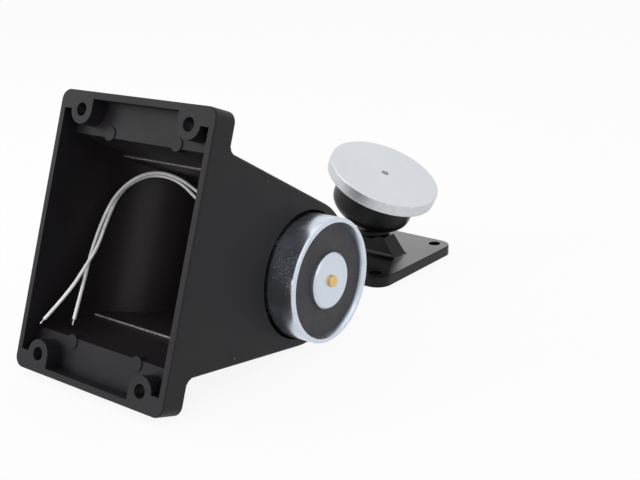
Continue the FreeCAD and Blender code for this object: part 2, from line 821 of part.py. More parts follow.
# placement
def resting_tilt():
    """Nose-down angle at which the flange edge and the nose touch the table."""
    dy = magnet_y - flange_d
    dz = flange_h / 2
    return math.degrees(math.acos(nose_r / math.hypot(dy, dz)) - math.atan2(dy, dz))


def place_wall_unit(shape):
    shape.translate(V(0, -flange_d, flange_h / 2))
    shape.rotate(ORIGIN, X_AXIS, -resting_tilt())
    return shape


def place_keeper(shape):
    shape.rotate(ORIGIN, Z_AXIS, keeper_yaw)
    shape.translate(V(keeper_x, keeper_y, 0))
    return shape


def place_head(shape):
    shape.rotate(ORIGIN, Y_AXIS, head_tilt)
    shape.translate(V(0, 0, pivot_z))
    return place_keeper(shape)


def build():
    made = {}
    wall_unit = {
        "housing": housing(),
        "magnet_cup": magnet_cup(),
        "pole_core": pole_core(),
        "coil_bobbin": coil_bobbin(),
        "coil_winding": coil_winding(),
        "potting_ring": potting_ring(),
        "release_pin": release_pin(),
        "pin_spring": pin_spring(),
        "magnet_screw": magnet_screw(),
        "flat_washer": flat_washer(),
        "lock_washer": lock_washer(),
        "lead_grommet": lead_grommet(),
        "lead_a": round_tube(lead_a_points, lead_r),
        "lead_b": round_tube(lead_b_points, lead_r),
        "lead_tip_a": lead_tip(lead_a_points),
        "lead_tip_b": lead_tip(lead_b_points),
    }
    for name, shape in wall_unit.items():
        made[name] = place_wall_unit(shape)
    for name, shape in (("keeper_base", keeper_base()), ("ball_stud", ball_stud()),
                        ("pivot_ball", pivot_ball())):
        made[name] = place_keeper(shape)
    for name, shape in (("swivel_head", swivel_head()), ("ball_retainer", ball_retainer()),
                        ("armature_disc", armature_disc()), ("disc_screws", disc_screws())):
        made[name] = place_head(shape)
    return made


def main():
    os.makedirs("parts", exist_ok=True)
    made = build()
    box = FreeCAD.BoundBox()
    for name, shape in made.items():
        if not name.startswith("lead_"):
            box.add(shape.optimalBoundingBox(False))
    shift = V(-(box.XMin + box.XMax) / 2, -(box.YMin + box.YMax) / 2, -box.ZMin)
    print("tilt", round(resting_tilt(), 3), "shift", [round(v, 3) for v in shift])
    print("size", round(box.XLength, 2), round(box.YLength, 2), round(box.ZLength, 2))
    for name, shape in made.items():
        shape.translate(shift)
        if not shape.isValid():
            print("not valid:", name)
        shape.exportStep("parts/" + name + ".step")
        print(name, len(shape.Solids), round(shape.Volume, 1))


main()
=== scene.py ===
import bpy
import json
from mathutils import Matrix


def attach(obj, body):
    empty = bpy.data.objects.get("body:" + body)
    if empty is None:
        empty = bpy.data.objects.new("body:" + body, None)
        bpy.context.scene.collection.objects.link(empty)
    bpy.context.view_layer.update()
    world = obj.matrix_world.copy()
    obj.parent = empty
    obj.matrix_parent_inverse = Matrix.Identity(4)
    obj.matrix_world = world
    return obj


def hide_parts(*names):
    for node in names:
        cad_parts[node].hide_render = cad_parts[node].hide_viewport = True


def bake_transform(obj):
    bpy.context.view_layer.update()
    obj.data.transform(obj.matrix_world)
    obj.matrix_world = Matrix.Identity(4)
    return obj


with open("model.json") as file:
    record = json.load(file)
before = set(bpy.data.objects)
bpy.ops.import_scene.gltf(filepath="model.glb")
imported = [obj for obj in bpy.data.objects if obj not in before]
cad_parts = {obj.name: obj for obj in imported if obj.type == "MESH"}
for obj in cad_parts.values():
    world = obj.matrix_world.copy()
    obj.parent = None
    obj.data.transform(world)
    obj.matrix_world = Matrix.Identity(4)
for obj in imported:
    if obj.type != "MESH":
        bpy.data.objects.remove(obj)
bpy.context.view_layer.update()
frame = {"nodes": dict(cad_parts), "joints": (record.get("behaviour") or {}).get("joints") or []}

import json
import math

import bmesh
import bpy
from bpy.props import FloatProperty, FloatVectorProperty, IntProperty, PointerProperty
from mathutils import Matrix, Vector

bl_info = {
    "name": "Electromagnetic Door Holder",
    "version": (1, 0, 0),
    "blender": (4, 5, 0),
    "location": "3D View > Sidebar > Door Holder",
    "description": "Dresses a wall-mounted holding magnet and its door keeper",
    "category": "Object",
}

# sizes that place the wall unit on the table, in metres
FLANGE_HEIGHT = 0.1185
FLANGE_DEPTH = 0.0112
NOSE_RADIUS = 0.0325
MAGNET_DEPTH = 0.0754
TABLE_SHIFT = Vector((-0.0078, -0.106926, 0.0))

# places on the wall unit that its finishes follow, in its own upright frame
BODY_MIDDLE = (0.0, 0.045, 0.0)
POCKET_DEPTH = 0.0078
BROWN_AND_LIGHT_DEPTH = 0.045
LEDGE_DEPTH = 0.037
LEDGE_HEIGHT = 0.0363
CUP_SPARKLE = (0.0555, 0.0482, 0.0030)
MAGNET_TURN = (0, math.radians(90), 0)
POLE_RIM_RADIUS = 0.0115
DISC_RIM_RADIUS = 0.0293

# the cup's mouth, and how near a corner has to be to count as lying on it
CUP_BORE_RADIUS = 0.02435
CUP_BEVEL_DEPTH = 0.0021
FACE_NEARNESS = 0.00002
BORE_NEARNESS = 0.0001
MERGE_DISTANCE = 0.000002

# fixed colours inside the patterns
DUST_COLOUR = (0.07, 0.07, 0.07)
# colour of the painted highlight on the edges of the inner steps
LEDGE_HIGHLIGHT_COLOUR = (0.5, 0.49, 0.48)
# white of the painted glints on the cup's crystal grain
CRYSTAL_GLINT_COLOUR = (0.95, 0.97, 1.0)
BUBBLE_COLOUR = (0.01, 0.01, 0.01)

# how much of the table shows plain white; the rest shows its lit shade
TABLE_WHITE_SHARE = 0.9

# each lamp's name, the setting with its power, its side, its place and its target
LAMPS = (
    ("key lamp", "key_power", 1.3, (-0.25, -0.15, 0.75), (0.0, -0.02, 0.03)),
    ("side lamp", "side_power", 0.45, (0.6, -0.25, 0.45), (0.0, -0.02, 0.05)),
    ("front lamp", "front_power", 0.35, (-0.63, -0.62, 0.42), (0.0, -0.06, 0.06)),
    ("low lamp", "low_power", 0.2, (-0.2, -0.75, 0.1), (0.0, -0.06, 0.08)),
)

# the keeper as it stands: its turn on the table and the lean of its head
KEEPER_YAW = math.radians(-3.0)
HEAD_LEAN = math.radians(25.4)
HEAD_JOINT = next(joint for joint in frame["joints"] if joint["name"] == "head_tilt")
BALL_MIDDLE = Vector(HEAD_JOINT["pos_m"])

# the leads' routes in the wall unit's own upright frame, and their lengths, in metres
LEAD_A_ROUTE = [
    (0.02055, 0.057997, 0.015742), (0.0125, 0.057997, 0.015742), (0.0020, 0.0570, 0.0205),
    (-0.0087, 0.0550, 0.0268), (-0.0160, 0.0500, 0.0312), (-0.0229, 0.0440, 0.0323),
    (-0.0287, 0.0380, 0.0292), (-0.0333, 0.0330, 0.0221), (-0.0357, 0.0290, 0.0126),
    (-0.0342, 0.0230, -0.0058), (-0.0285, 0.0165, -0.0208), (-0.0233, 0.0101, -0.0352),
]
LEAD_B_ROUTE = [
    (0.02055, 0.057997, 0.012242), (0.0125, 0.057997, 0.012242), (0.0015, 0.0573, 0.0175),
    (-0.0094, 0.0555, 0.0238), (-0.0169, 0.0515, 0.0296), (-0.0244, 0.0460, 0.0310),
    (-0.0304, 0.0400, 0.0282), (-0.0358, 0.0345, 0.0201), (-0.0330, 0.0275, 0.0072),
    (-0.0293, 0.0215, -0.0046), (-0.0290, 0.0172, -0.0118), (-0.0296, 0.0106, -0.0248),
    (-0.0361, 0.0055, -0.0380),
]
LEAD_A_LENGTH = 0.1335
LEAD_B_LENGTH = 0.1373

# the camera of the photograph, fitted to the wall unit's edges
CAMERA_PLACE = Vector((0.27232, -0.33518, 0.18215))
CAMERA_RIGHT = Vector((0.80907, 0.58718, -0.02508))
CAMERA_UP = Vector((-0.17174, 0.27702, 0.94539))
CAMERA_BACK = Vector((0.56206, -0.76058, 0.32497))
CAMERA_LENS = 53.93


def resting_lean():
    """Nose-down lean at which the flange's edge and the round nose touch the table."""
    dy = MAGNET_DEPTH - FLANGE_DEPTH
    dz = FLANGE_HEIGHT / 2
    return math.acos(NOSE_RADIUS / math.hypot(dy, dz)) - math.atan2(dy, dz)


def on_table(point):
    """A point of the upright wall unit, where it lies on the table."""
    moved = Vector(point) + Vector((0, -FLANGE_DEPTH, FLANGE_HEIGHT / 2))
    return Matrix.Rotation(-resting_lean(), 3, "X") @ moved + TABLE_SHIFT


def magnet_middle():
    """A point on the magnet's axis, where the wall unit lies on the table."""
    return on_table((0, MAGNET_DEPTH, 0))


# settings that a user may change
class HolderFinish(bpy.types.PropertyGroup):
    """Colours and grain of the finishes"""
    housing_black: FloatVectorProperty(
        name="Housing", description="Colour of the moulded wall unit",
        subtype="COLOR", min=0, max=1, default=(0.0112, 0.0096, 0.0116))
    # lighter than the outside black: partly the moulding's own brown tint, partly painted light on the
    # deep inner walls
    housing_inside_and_painted_light: FloatVectorProperty(
        name="Housing inside", description="Colour that the wall unit's inner walls reach with depth",
        subtype="COLOR", min=0, max=1, default=(0.0300, 0.0255, 0.0258))
    keeper_black: FloatVectorProperty(
        name="Keeper", description="Colour of the keeper's plate and bowl",
        subtype="COLOR", min=0, max=1, default=(0.0040, 0.0040, 0.0045))
    zinc: FloatVectorProperty(
        name="Zinc", description="Colour of the bright zinc on the magnet",
        subtype="COLOR", min=0, max=1, default=(0.62, 0.68, 0.76))
    disc_zinc: FloatVectorProperty(
        name="Disc", description="Colour of the armature disc's ground face",
        subtype="COLOR", min=0, max=1, default=(0.66, 0.68, 0.71))
    resin: FloatVectorProperty(
        name="Resin", description="Colour of the cast resin round the pole",
        subtype="COLOR", min=0, max=1, default=(0.0205, 0.0200, 0.0260))
    brass: FloatVectorProperty(
        name="Brass", description="Colour of the release pin",
        subtype="COLOR", min=0, max=1, default=(0.74, 0.51, 0.21))
    jacket: FloatVectorProperty(
        name="Lead jacket", description="Colour of the leads' insulation",
        subtype="COLOR", min=0, max=1, default=(0.88, 0.88, 0.88))
    grain_size: FloatProperty(
        name="Grain size", description="Size of the grain moulded into the plastic",
        unit="LENGTH", precision=5, min=0.0001, max=0.01, default=0.0009)
    dust: FloatProperty(
        name="Dust", description="How much dust lies on the black plastic",
        subtype="FACTOR", min=0, max=1, default=0.08)


class HolderLeads(bpy.types.PropertyGroup):
    """Sizes of the two leads"""
    jacket_diameter: FloatProperty(
        name="Jacket diameter", description="Outside diameter of each lead",
        unit="LENGTH", precision=5, default=0.0015)
    tip_length: FloatProperty(
        name="Stripped length", description="Length of the bare core at each lead's end",
        unit="LENGTH", precision=5, default=0.0026)
    strand_diameter: FloatProperty(
        name="Strand diameter", description="Diameter of one strand of the core",
        unit="LENGTH", precision=5, default=0.0002)
    strand_ring: IntProperty(
        name="Outer strands", description="Strands laid round the middle one",
        min=3, max=12, default=6)
    strand_turns: FloatProperty(
        name="Twist", description="Turns of the strands over the stripped length",
        min=0, max=5, default=0.8)


class HolderMagnet(bpy.types.PropertyGroup):
    """Sizes of the pot magnet"""
    bevel_width: FloatProperty(
        name="Cup bevel", description="How far the bevel inside the cup's mouth opens it",
        unit="LENGTH", precision=5, min=0.0001, max=0.0014, default=0.0011)


class HolderStudio(bpy.types.PropertyGroup):
    """Lamps, surround and table"""
    key_power: FloatProperty(
        name="Key light", description="Power of the large lamp over the table",
        unit="POWER", default=1.8)
    side_power: FloatProperty(
        name="Side light", description="Power of the lamp beside the camera",
        unit="POWER", default=0.3)
    front_power: FloatProperty(
        name="Front light", description="Power of the lamp on the left that faces the flange",
        unit="POWER", default=1.5)
    low_power: FloatProperty(
        name="Low light", description="Power of the small lamp near the table, facing the housing",
        unit="POWER", default=1.0)
    surround: FloatProperty(
        name="Surround", description="Light that the white studio gives from all round",
        min=0, max=2, default=0.72)
    table_size: FloatProperty(
        name="Table", description="Side of the pale table",
        unit="LENGTH", default=6.0)


# node helpers
def add(tree, kind, inputs=None, **settings):
    """A new node with its settings and its unlinked input values."""
    made = tree.nodes.new(kind)
    for name, value in settings.items():
        setattr(made, name, value)
    for name, value in (inputs or {}).items():
        if isinstance(value, bpy.types.NodeSocket):
            tree.links.new(value, made.inputs[name])
        else:
            made.inputs[name].default_value = value
    return made


def calc(tree, operation, first, second=0.0, third=0.0, clamp=False):
    """One sum on sockets or numbers, as an output socket."""
    sum_node = add(tree, "ShaderNodeMath", {0: first, 1: second, 2: third},
                   operation=operation, use_clamp=clamp)
    return sum_node.outputs[0]


def span(tree, value, low, high, to_low=0.0, to_high=1.0):
    """A value carried from one range to another, held at its ends."""
    ranged = add(tree, "ShaderNodeMapRange", {
        "Value": value, "From Min": low, "From Max": high, "To Min": to_low, "To Max": to_high})
    return ranged.outputs["Result"]


def blend_colour(tree, share, first, second):
    """Two colours mixed by a share, each given as a socket or as plain numbers."""
    mixed = add(tree, "ShaderNodeMix", data_type="RGBA")
    for index, value in ((0, share), (6, first), (7, second)):
        if isinstance(value, bpy.types.NodeSocket):
            tree.links.new(value, mixed.inputs[index])
        elif index == 0:
            mixed.inputs[index].default_value = value
        else:
            mixed.inputs[index].default_value = (*value, 1.0)
    return mixed.outputs[2]


def effect_group(name, inputs, outputs):
    """An empty node group with its sockets, for an effect that several finishes share."""
    group = bpy.data.node_groups.new(name, "ShaderNodeTree")
    for label, kind, value in inputs:
        socket = group.interface.new_socket(label, in_out="INPUT", socket_type="NodeSocket" + kind)
        if value is not None:
            socket.default_value = value
    for label, kind in outputs:
        group.interface.new_socket(label, in_out="OUTPUT", socket_type="NodeSocket" + kind)
    return group, add(group, "NodeGroupInput"), add(group, "NodeGroupOutput")


def axis_distance(tree, parts):
    """Distance from the Z axis of a point whose vector is already taken apart."""
    flat = add(tree, "ShaderNodeCombineXYZ", {"X": parts.outputs["X"], "Y": parts.outputs["Y"]})
    away = add(tree, "ShaderNodeVectorMath", {0: flat.outputs[0]}, operation="LENGTH")
    return away.outputs["Value"]


# shared effects
def moulded_grain():
    """Fine irregular grain of a spark-eroded mould."""
    group, given, result = effect_group(
        "moulded grain",
        [("Vector", "Vector", None), ("Grain size", "Float", 0.0009)],
        [("Height", "Float")])
    density = calc(group, "DIVIDE", 1.0, given.outputs["Grain size"])
    fine = add(group, "ShaderNodeTexNoise", {
        "Vector": given.outputs["Vector"], "Scale": density, "Detail": 3.0, "Roughness": 0.6})
    coarse = add(group, "ShaderNodeTexVoronoi", {
        "Vector": given.outputs["Vector"], "Scale": calc(group, "MULTIPLY", density, 0.6),
        "Smoothness": 0.6}, feature="SMOOTH_F1")
    height = calc(group, "ADD", fine.outputs["Fac"],
                  calc(group, "MULTIPLY", coarse.outputs["Distance"], 0.5))
    group.links.new(height, result.inputs["Height"])
    return group


def scattered_specks():
    """Small bright specks, sparse in some places and thicker in others."""
    group, given, result = effect_group(
        "scattered specks",
        [("Vector", "Vector", None), ("Spacing", "Float", 0.004), ("Radius", "Float", 0.07),
         ("Amount", "Float", 0.3)],
        [("Mask", "Float")])
    density = calc(group, "DIVIDE", 1.0, given.outputs["Spacing"])
    cells = add(group, "ShaderNodeTexVoronoi", {"Vector": given.outputs["Vector"], "Scale": density})
    patches = add(group, "ShaderNodeTexNoise", {
        "Vector": given.outputs["Vector"], "Scale": calc(group, "MULTIPLY", density, 0.16),
        "Detail": 2.0})
    parts = add(group, "ShaderNodeSeparateColor", {"Color": cells.outputs["Color"]})
    kept = calc(group, "LESS_THAN", parts.outputs["Red"], calc(
        group, "MULTIPLY", given.outputs["Amount"], span(group, patches.outputs["Fac"], 0.35, 0.65)))
    size = calc(group, "MULTIPLY", given.outputs["Radius"],
                span(group, parts.outputs["Green"], 0.0, 1.0, 0.4, 1.3))
    dot = calc(group, "LESS_THAN", cells.outputs["Distance"], size)
    group.links.new(calc(group, "MULTIPLY", kept, dot), result.inputs["Mask"])
    return group


def handling_marks():
    """Slow cloudy change of gloss left by hands and packing."""
    group, given, result = effect_group(
        "handling marks",
        [("Vector", "Vector", None), ("Size", "Float", 0.02), ("Base", "Float", 0.4),
         ("Spread", "Float", 0.1)],
        [("Roughness", "Float")])
    clouds = add(group, "ShaderNodeTexNoise", {
        "Vector": given.outputs["Vector"],
        "Scale": calc(group, "DIVIDE", 1.0, given.outputs["Size"]),
        "Detail": 4.0, "Roughness": 0.55, "Distortion": 0.4})
    shift = calc(group, "MULTIPLY", span(group, clouds.outputs["Fac"], 0.3, 0.7, -1.0, 1.0),
                 given.outputs["Spread"])
    group.links.new(calc(group, "ADD", given.outputs["Base"], shift, clamp=True),
                    result.inputs["Roughness"])
    return group


def turned_lines():
    """Fine rings that a lathe leaves round the vector's Z axis, and rings of another depth."""
    group, given, result = effect_group(
        "turned lines",
        [("Vector", "Vector", None), ("Pitch", "Float", 0.0003), ("Along axis", "Float", 0.0)],
        [("Height", "Float"), ("Band", "Float")])
    parts = add(group, "ShaderNodeSeparateXYZ", {"Vector": given.outputs["Vector"]})
    along = calc(group, "MULTIPLY", parts.outputs["Z"], given.outputs["Along axis"])
    place = calc(group, "ADD", axis_distance(group, parts), along)
    ring = add(group, "ShaderNodeCombineXYZ", {"X": calc(
        group, "DIVIDE", place, given.outputs["Pitch"])})
    fine = add(group, "ShaderNodeTexNoise", {
        "Vector": ring.outputs[0], "Scale": 1.0, "Detail": 2.0}, noise_dimensions="3D")
    broad = add(group, "ShaderNodeTexNoise", {"Vector": ring.outputs[0], "Scale": 0.06, "Detail": 1.0})
    group.links.new(fine.outputs["Fac"], result.inputs["Height"])
    group.links.new(broad.outputs["Fac"], result.inputs["Band"])
    return group


EFFECT_MAKERS = {"grain": moulded_grain, "specks": scattered_specks,
                 "marks": handling_marks, "lines": turned_lines}
EFFECTS = {}


def effect(tree, name, inputs):
    """A shared effect, built once and placed in a finish with that finish's own values."""
    if name not in EFFECTS:
        EFFECTS[name] = EFFECT_MAKERS[name]()
    placed = add(tree, "ShaderNodeGroup", node_tree=EFFECTS[name])
    for label, value in inputs.items():
        if isinstance(value, bpy.types.NodeSocket):
            tree.links.new(value, placed.inputs[label])
        else:
            placed.inputs[label].default_value = value
    return placed


def finish(name, **constants):
    """A new material with its shader and the coordinates that its pattern reads."""
    material = bpy.data.materials.new(name)
    material.use_nodes = True
    tree = material.node_tree
    shader = tree.nodes["Principled BSDF"]
    for label, value in constants.items():
        shader.inputs[label.replace("_", " ")].default_value = value
    place = add(tree, "ShaderNodeTexCoord")
    return material, tree, shader, place.outputs["Object"]


def bump(tree, shader, height, depth, strength=1.0, distance=0.0001):
    """Gives the shader a surface relief from a height."""
    relief = add(tree, "ShaderNodeBump", {
        "Height": calc(tree, "MULTIPLY", height, depth), "Strength": strength, "Distance": distance})
    tree.links.new(relief.outputs["Normal"], shader.inputs["Normal"])


def about_axis(tree, vector, middle, turn):
    """The pattern's coordinates seen from a piece's own axis, with Z along it."""
    seen = add(tree, "ShaderNodeMapping", {
        "Vector": vector, "Location": middle, "Rotation": turn}, vector_type="TEXTURE")
    return seen.outputs["Vector"]


# finishes
def moulded_black(name, colour, rough, shine, dust):
    """Black moulding with a fine grain, a little dust and hand marks."""
    settings = bpy.context.scene.holder_finish
    material, tree, shader, vector = finish(
        name, IOR=1.5, Specular_IOR_Level=shine, Coat_Roughness=0.22)
    grain = effect(tree, "grain", {"Vector": vector, "Grain size": settings.grain_size})
    specks = effect(tree, "specks", {
        "Vector": vector, "Spacing": 0.0035, "Radius": 0.06, "Amount": settings.dust * dust})
    marks = effect(tree, "marks", {"Vector": vector, "Size": 0.03, "Base": 0.0, "Spread": 0.05})
    tint = blend_colour(tree, specks.outputs["Mask"], colour, DUST_COLOUR)
    tree.links.new(tint, shader.inputs["Base Color"])
    tree.links.new(calc(tree, "ADD", rough, marks.outputs["Roughness"], clamp=True),
                   shader.inputs["Roughness"])
    bump(tree, shader, grain.outputs["Height"], 0.35)
    return material, tree, shader, tint


def place_and_normal(tree):
    """The coordinates and the surface normal that a finish already reads."""
    place = next(n for n in tree.nodes if n.bl_idname == "ShaderNodeTexCoord")
    return place.outputs["Object"], place.outputs["Normal"]


def housing_moulding():
    """The wall unit's moulding: satin outside; its inner walls turn browner and lighter with depth,
    the brown being its own tint and the lightening painted light.
    """
    settings = bpy.context.scene.holder_finish
    material, tree, shader, tint = moulded_black(
        "housing moulding", settings.housing_black, 0.5, 0.22, 1.0)
    vector, normal = place_and_normal(tree)
    outward = add(tree, "ShaderNodeVectorMath", {0: vector, 1: on_table(BODY_MIDDLE)},
                  operation="SUBTRACT")
    facing = add(tree, "ShaderNodeVectorMath", {0: normal, 1: outward.outputs[0]},
                 operation="DOT_PRODUCT")
    upright = about_axis(tree, vector, on_table((0, 0, 0)), (-resting_lean(), 0, 0))
    parts = add(tree, "ShaderNodeSeparateXYZ", {"Vector": upright})
    inside = calc(tree, "MULTIPLY", calc(tree, "LESS_THAN", facing.outputs["Value"], 0.0),
                  span(tree, parts.outputs["Y"], POCKET_DEPTH, BROWN_AND_LIGHT_DEPTH))
    # inner walls blend to the inside colour with depth: brown tint plus painted light
    brown_and_painted_light = blend_colour(tree, inside, tint, settings.housing_inside_and_painted_light)
    # painted highlight along the edges of the two inner steps
    painted_highlight = blend_colour(tree, painted_ledge_highlight(tree, vector, parts), brown_and_painted_light, LEDGE_HIGHLIGHT_COLOUR)
    tree.links.new(painted_highlight, shader.inputs["Base Color"])
    smooth = calc(tree, "MULTIPLY", inside, 0.1)
    held = shader.inputs["Roughness"].links[0].from_socket
    tree.links.new(calc(tree, "SUBTRACT", held, smooth, clamp=True), shader.inputs["Roughness"])
    return material


def painted_ledge_highlight(tree, vector, parts):
    """Mask of a painted highlight along the edges of the two steps inside the wall unit, broken up by
    noise and fainter on the upper step.
    """
    depth = calc(tree, "COMPARE", parts.outputs["Y"], LEDGE_DEPTH, 0.00012)
    height = calc(tree, "ABSOLUTE", parts.outputs["Z"])
    band = calc(tree, "COMPARE", height, LEDGE_HEIGHT, 0.00038)
    # noise breaks the painted highlight into short dashes
    highlight_breaks = add(tree, "ShaderNodeTexNoise", {"Vector": vector, "Scale": 900.0, "Detail": 2.0})
    painted_highlight = span(tree, highlight_breaks.outputs["Fac"], 0.35, 0.6, 0.35, 1.0)
    # the painted highlight is fainter on the upper step
    below = span(tree, parts.outputs["Z"], -0.01, 0.01, 1.0, 0.45)
    return calc(tree, "MULTIPLY", calc(tree, "MULTIPLY", depth, band),
                calc(tree, "MULTIPLY", painted_highlight, below))


def keeper_moulding(name, glossy_top):
    """The keeper's moulding; where glossy_top is true, the faces that lie flat are coated."""
    colour = bpy.context.scene.holder_finish.keeper_black
    material, tree, shader = moulded_black(name, colour, 0.3, 0.2, 0.6)[:3]
    if glossy_top:
        parts = add(tree, "ShaderNodeSeparateXYZ", {"Vector": place_and_normal(tree)[1]})
        flat = calc(tree, "GREATER_THAN", parts.outputs["Z"], 0.97)
        tree.links.new(flat, shader.inputs["Coat Weight"])
    return material


def plated_steel(name, colour, middle, turn, roughness, pitch, along_axis, rim_radius):
    """Turned steel with bright zinc: lathe rings, cloudy gloss and a duller, mottled rim."""
    material, tree, shader, vector = finish(name, Metallic=1.0, Anisotropic=0.35)
    seen = about_axis(tree, vector, middle, turn)
    lines = effect(tree, "lines", {"Vector": seen, "Pitch": pitch, "Along axis": along_axis})
    marks = effect(tree, "marks", {
        "Vector": vector, "Size": 0.012, "Base": roughness, "Spread": 0.05})
    parts = add(tree, "ShaderNodeSeparateXYZ", {"Vector": seen})
    rim = calc(tree, "GREATER_THAN", axis_distance(tree, parts), rim_radius)
    mottle = add(tree, "ShaderNodeTexNoise", {
        "Vector": vector, "Scale": 420.0, "Detail": 4.0, "Roughness": 0.7})
    mottled = span(tree, mottle.outputs["Fac"], 0.35, 0.65, 0.87, 1.0)
    dulled = calc(tree, "ADD", calc(tree, "MULTIPLY", rim, calc(tree, "SUBTRACT", mottled, 1.0)), 1.0)
    band = span(tree, lines.outputs["Band"], 0.3, 0.7, 0.99, 1.01)
    shade = add(tree, "ShaderNodeVectorMath", {
        0: colour, "Scale": calc(tree, "MULTIPLY", band, dulled)}, operation="SCALE")
    tree.links.new(shade.outputs[0], shader.inputs["Base Color"])
    rough = calc(tree, "ADD", marks.outputs["Roughness"],
                 calc(tree, "MULTIPLY", rim, 0.06), clamp=True)
    tree.links.new(rough, shader.inputs["Roughness"])
    bump(tree, shader, lines.outputs["Height"], 0.04)
    return material


def cup_zinc():
    """Zinc on the magnet's cup, with a cloud of fine white specks near its rim: the zinc's crystal
    grain with painted glints.
    """
    settings = bpy.context.scene.holder_finish
    material, tree, shader, vector = finish("zinc on the cup", Metallic=1.0, Anisotropic=0.35)
    seen = about_axis(tree, vector, magnet_middle(), MAGNET_TURN)
    lines = effect(tree, "lines", {"Vector": seen, "Pitch": 0.00035, "Along axis": 1.0})
    marks = effect(tree, "marks", {"Vector": vector, "Size": 0.012, "Base": 0.24, "Spread": 0.06})
    # painted glints on the zinc's crystal grain, thickest round one spot near the rim
    away = add(tree, "ShaderNodeVectorMath", {0: vector, 1: on_table(CUP_SPARKLE)},
               operation="DISTANCE")
    near = span(tree, away.outputs["Value"], 0.002, 0.011, 0.75, 0.0)
    crystal_glints = effect(tree, "specks", {
        "Vector": vector, "Spacing": 0.00034, "Radius": 0.33, "Amount": near})
    mottle = add(tree, "ShaderNodeTexNoise", {
        "Vector": vector, "Scale": 300.0, "Detail": 4.0, "Roughness": 0.7})
    cloudy = span(tree, mottle.outputs["Fac"], 0.3, 0.6, 0.93, 1.02)
    shade = add(tree, "ShaderNodeVectorMath", {0: settings.zinc, "Scale": cloudy}, operation="SCALE")
    tint = blend_colour(tree, crystal_glints.outputs["Mask"], shade.outputs[0], CRYSTAL_GLINT_COLOUR)
    tree.links.new(tint, shader.inputs["Base Color"])
    rough = calc(tree, "ADD", marks.outputs["Roughness"],
                 calc(tree, "MULTIPLY", crystal_glints.outputs["Mask"], 0.3), clamp=True)
    tree.links.new(rough, shader.inputs["Roughness"])
    bump(tree, shader, lines.outputs["Height"], 0.05)
    return material


def cast_resin():
    """Poured resin: satin, with a slow swell and a few pin bubbles."""
    colour = bpy.context.scene.holder_finish.resin
    material, tree, shader, vector = finish("cast resin", IOR=1.5)
    marks = effect(tree, "marks", {"Vector": vector, "Size": 0.008, "Base": 0.55, "Spread": 0.06})
    bubbles = effect(tree, "specks", {
        "Vector": vector, "Spacing": 0.003, "Radius": 0.05, "Amount": 0.3})
    tint = blend_colour(tree, bubbles.outputs["Mask"], colour, BUBBLE_COLOUR)
    tree.links.new(tint, shader.inputs["Base Color"])
    tree.links.new(marks.outputs["Roughness"], shader.inputs["Roughness"])
    grain = effect(tree, "grain", {"Vector": vector, "Grain size": 0.003})
    bump(tree, shader, grain.outputs["Height"], 0.4)
    return material


def plain_finish(name, colour, roughness, metallic=0.0, grain_size=0.002, depth=0.15):
    """A finish for a small piece: one colour, slightly uneven gloss and a faint relief."""
    material, tree, shader, vector = finish(name, Metallic=metallic)
    clouds = effect(tree, "marks", {
        "Vector": vector, "Size": 0.004, "Base": roughness, "Spread": 0.06})
    grain = effect(tree, "grain", {"Vector": vector, "Grain size": grain_size})
    shade = span(tree, grain.outputs["Height"], 0.4, 1.1, 0.88, 1.05)
    tinted = add(tree, "ShaderNodeVectorMath", {0: colour, "Scale": shade}, operation="SCALE")
    tree.links.new(tinted.outputs[0], shader.inputs["Base Color"])
    tree.links.new(clouds.outputs["Roughness"], shader.inputs["Roughness"])
    bump(tree, shader, grain.outputs["Height"], depth)
    return material


def dress(node_name, material):
    """Puts a finish on a piece that comes with the frame."""
    piece = frame["nodes"][node_name]
    if not piece.material_slots:
        piece.data.materials.append(material)
    for held in piece.material_slots:
        held.material = material


# operators
class DOORHOLDER_OT_stage(bpy.types.Operator):
    """Sets up the pale table, the studio lamps and the camera of the photograph"""
    bl_idname = "door_holder.stage"
    bl_label = "Table, Lamps and Camera"

    def execute(self, context):
        studio = context.scene.holder_studio
        make_camera()
        make_table(studio.table_size)
        make_surround(studio.surround)
        for name, power, side, place, target in LAMPS:
            add_lamp(name, getattr(studio, power), side, place, target)
        context.scene.view_settings.view_transform = "Standard"
        return {"FINISHED"}


def make_camera():
    """The camera at the photograph's place, turn and lens."""
    camera = bpy.data.objects.new("photo camera", bpy.data.cameras.new("photo camera"))
    bpy.context.scene.collection.objects.link(camera)
    camera.data.lens = CAMERA_LENS
    camera.data.clip_start = 0.01
    turn = Matrix((CAMERA_RIGHT, CAMERA_UP, CAMERA_BACK)).transposed()
    camera.matrix_world = Matrix.LocRotScale(CAMERA_PLACE, turn.to_quaternion(), None)
    bpy.context.scene.camera = camera


def seen_directly(tree):
    """1 for a ray that shows the studio in the picture or in something shiny."""
    path = add(tree, "ShaderNodeLightPath")
    shown = calc(tree, "MAXIMUM", path.outputs["Is Camera Ray"], path.outputs["Is Glossy Ray"])
    return calc(tree, "MAXIMUM", shown, path.outputs["Is Transmission Ray"])


def make_table(size):
    """A square pale table that shows white and keeps the shadows."""
    half = size / 2
    mesh = bpy.data.meshes.new("table")
    corners = [(-half, -half, 0), (half, -half, 0), (half, half, 0), (-half, half, 0)]
    mesh.from_pydata(corners, [], [(0, 1, 2, 3)])
    table = bpy.data.objects.new("table", mesh)
    bpy.context.scene.collection.objects.link(table)
    material, tree, shader = finish(
        "white table", Base_Color=(0.9, 0.9, 0.9, 1), Roughness=0.9)[:3]
    white = add(tree, "ShaderNodeEmission", {"Strength": 1.0})
    share = calc(tree, "MULTIPLY", seen_directly(tree), TABLE_WHITE_SHARE)
    mixed = add(tree, "ShaderNodeMixShader", {
        0: share, 1: shader.outputs["BSDF"], 2: white.outputs["Emission"]})
    tree.links.new(mixed.outputs[0], tree.nodes["Material Output"].inputs["Surface"])
    mesh.materials.append(material)


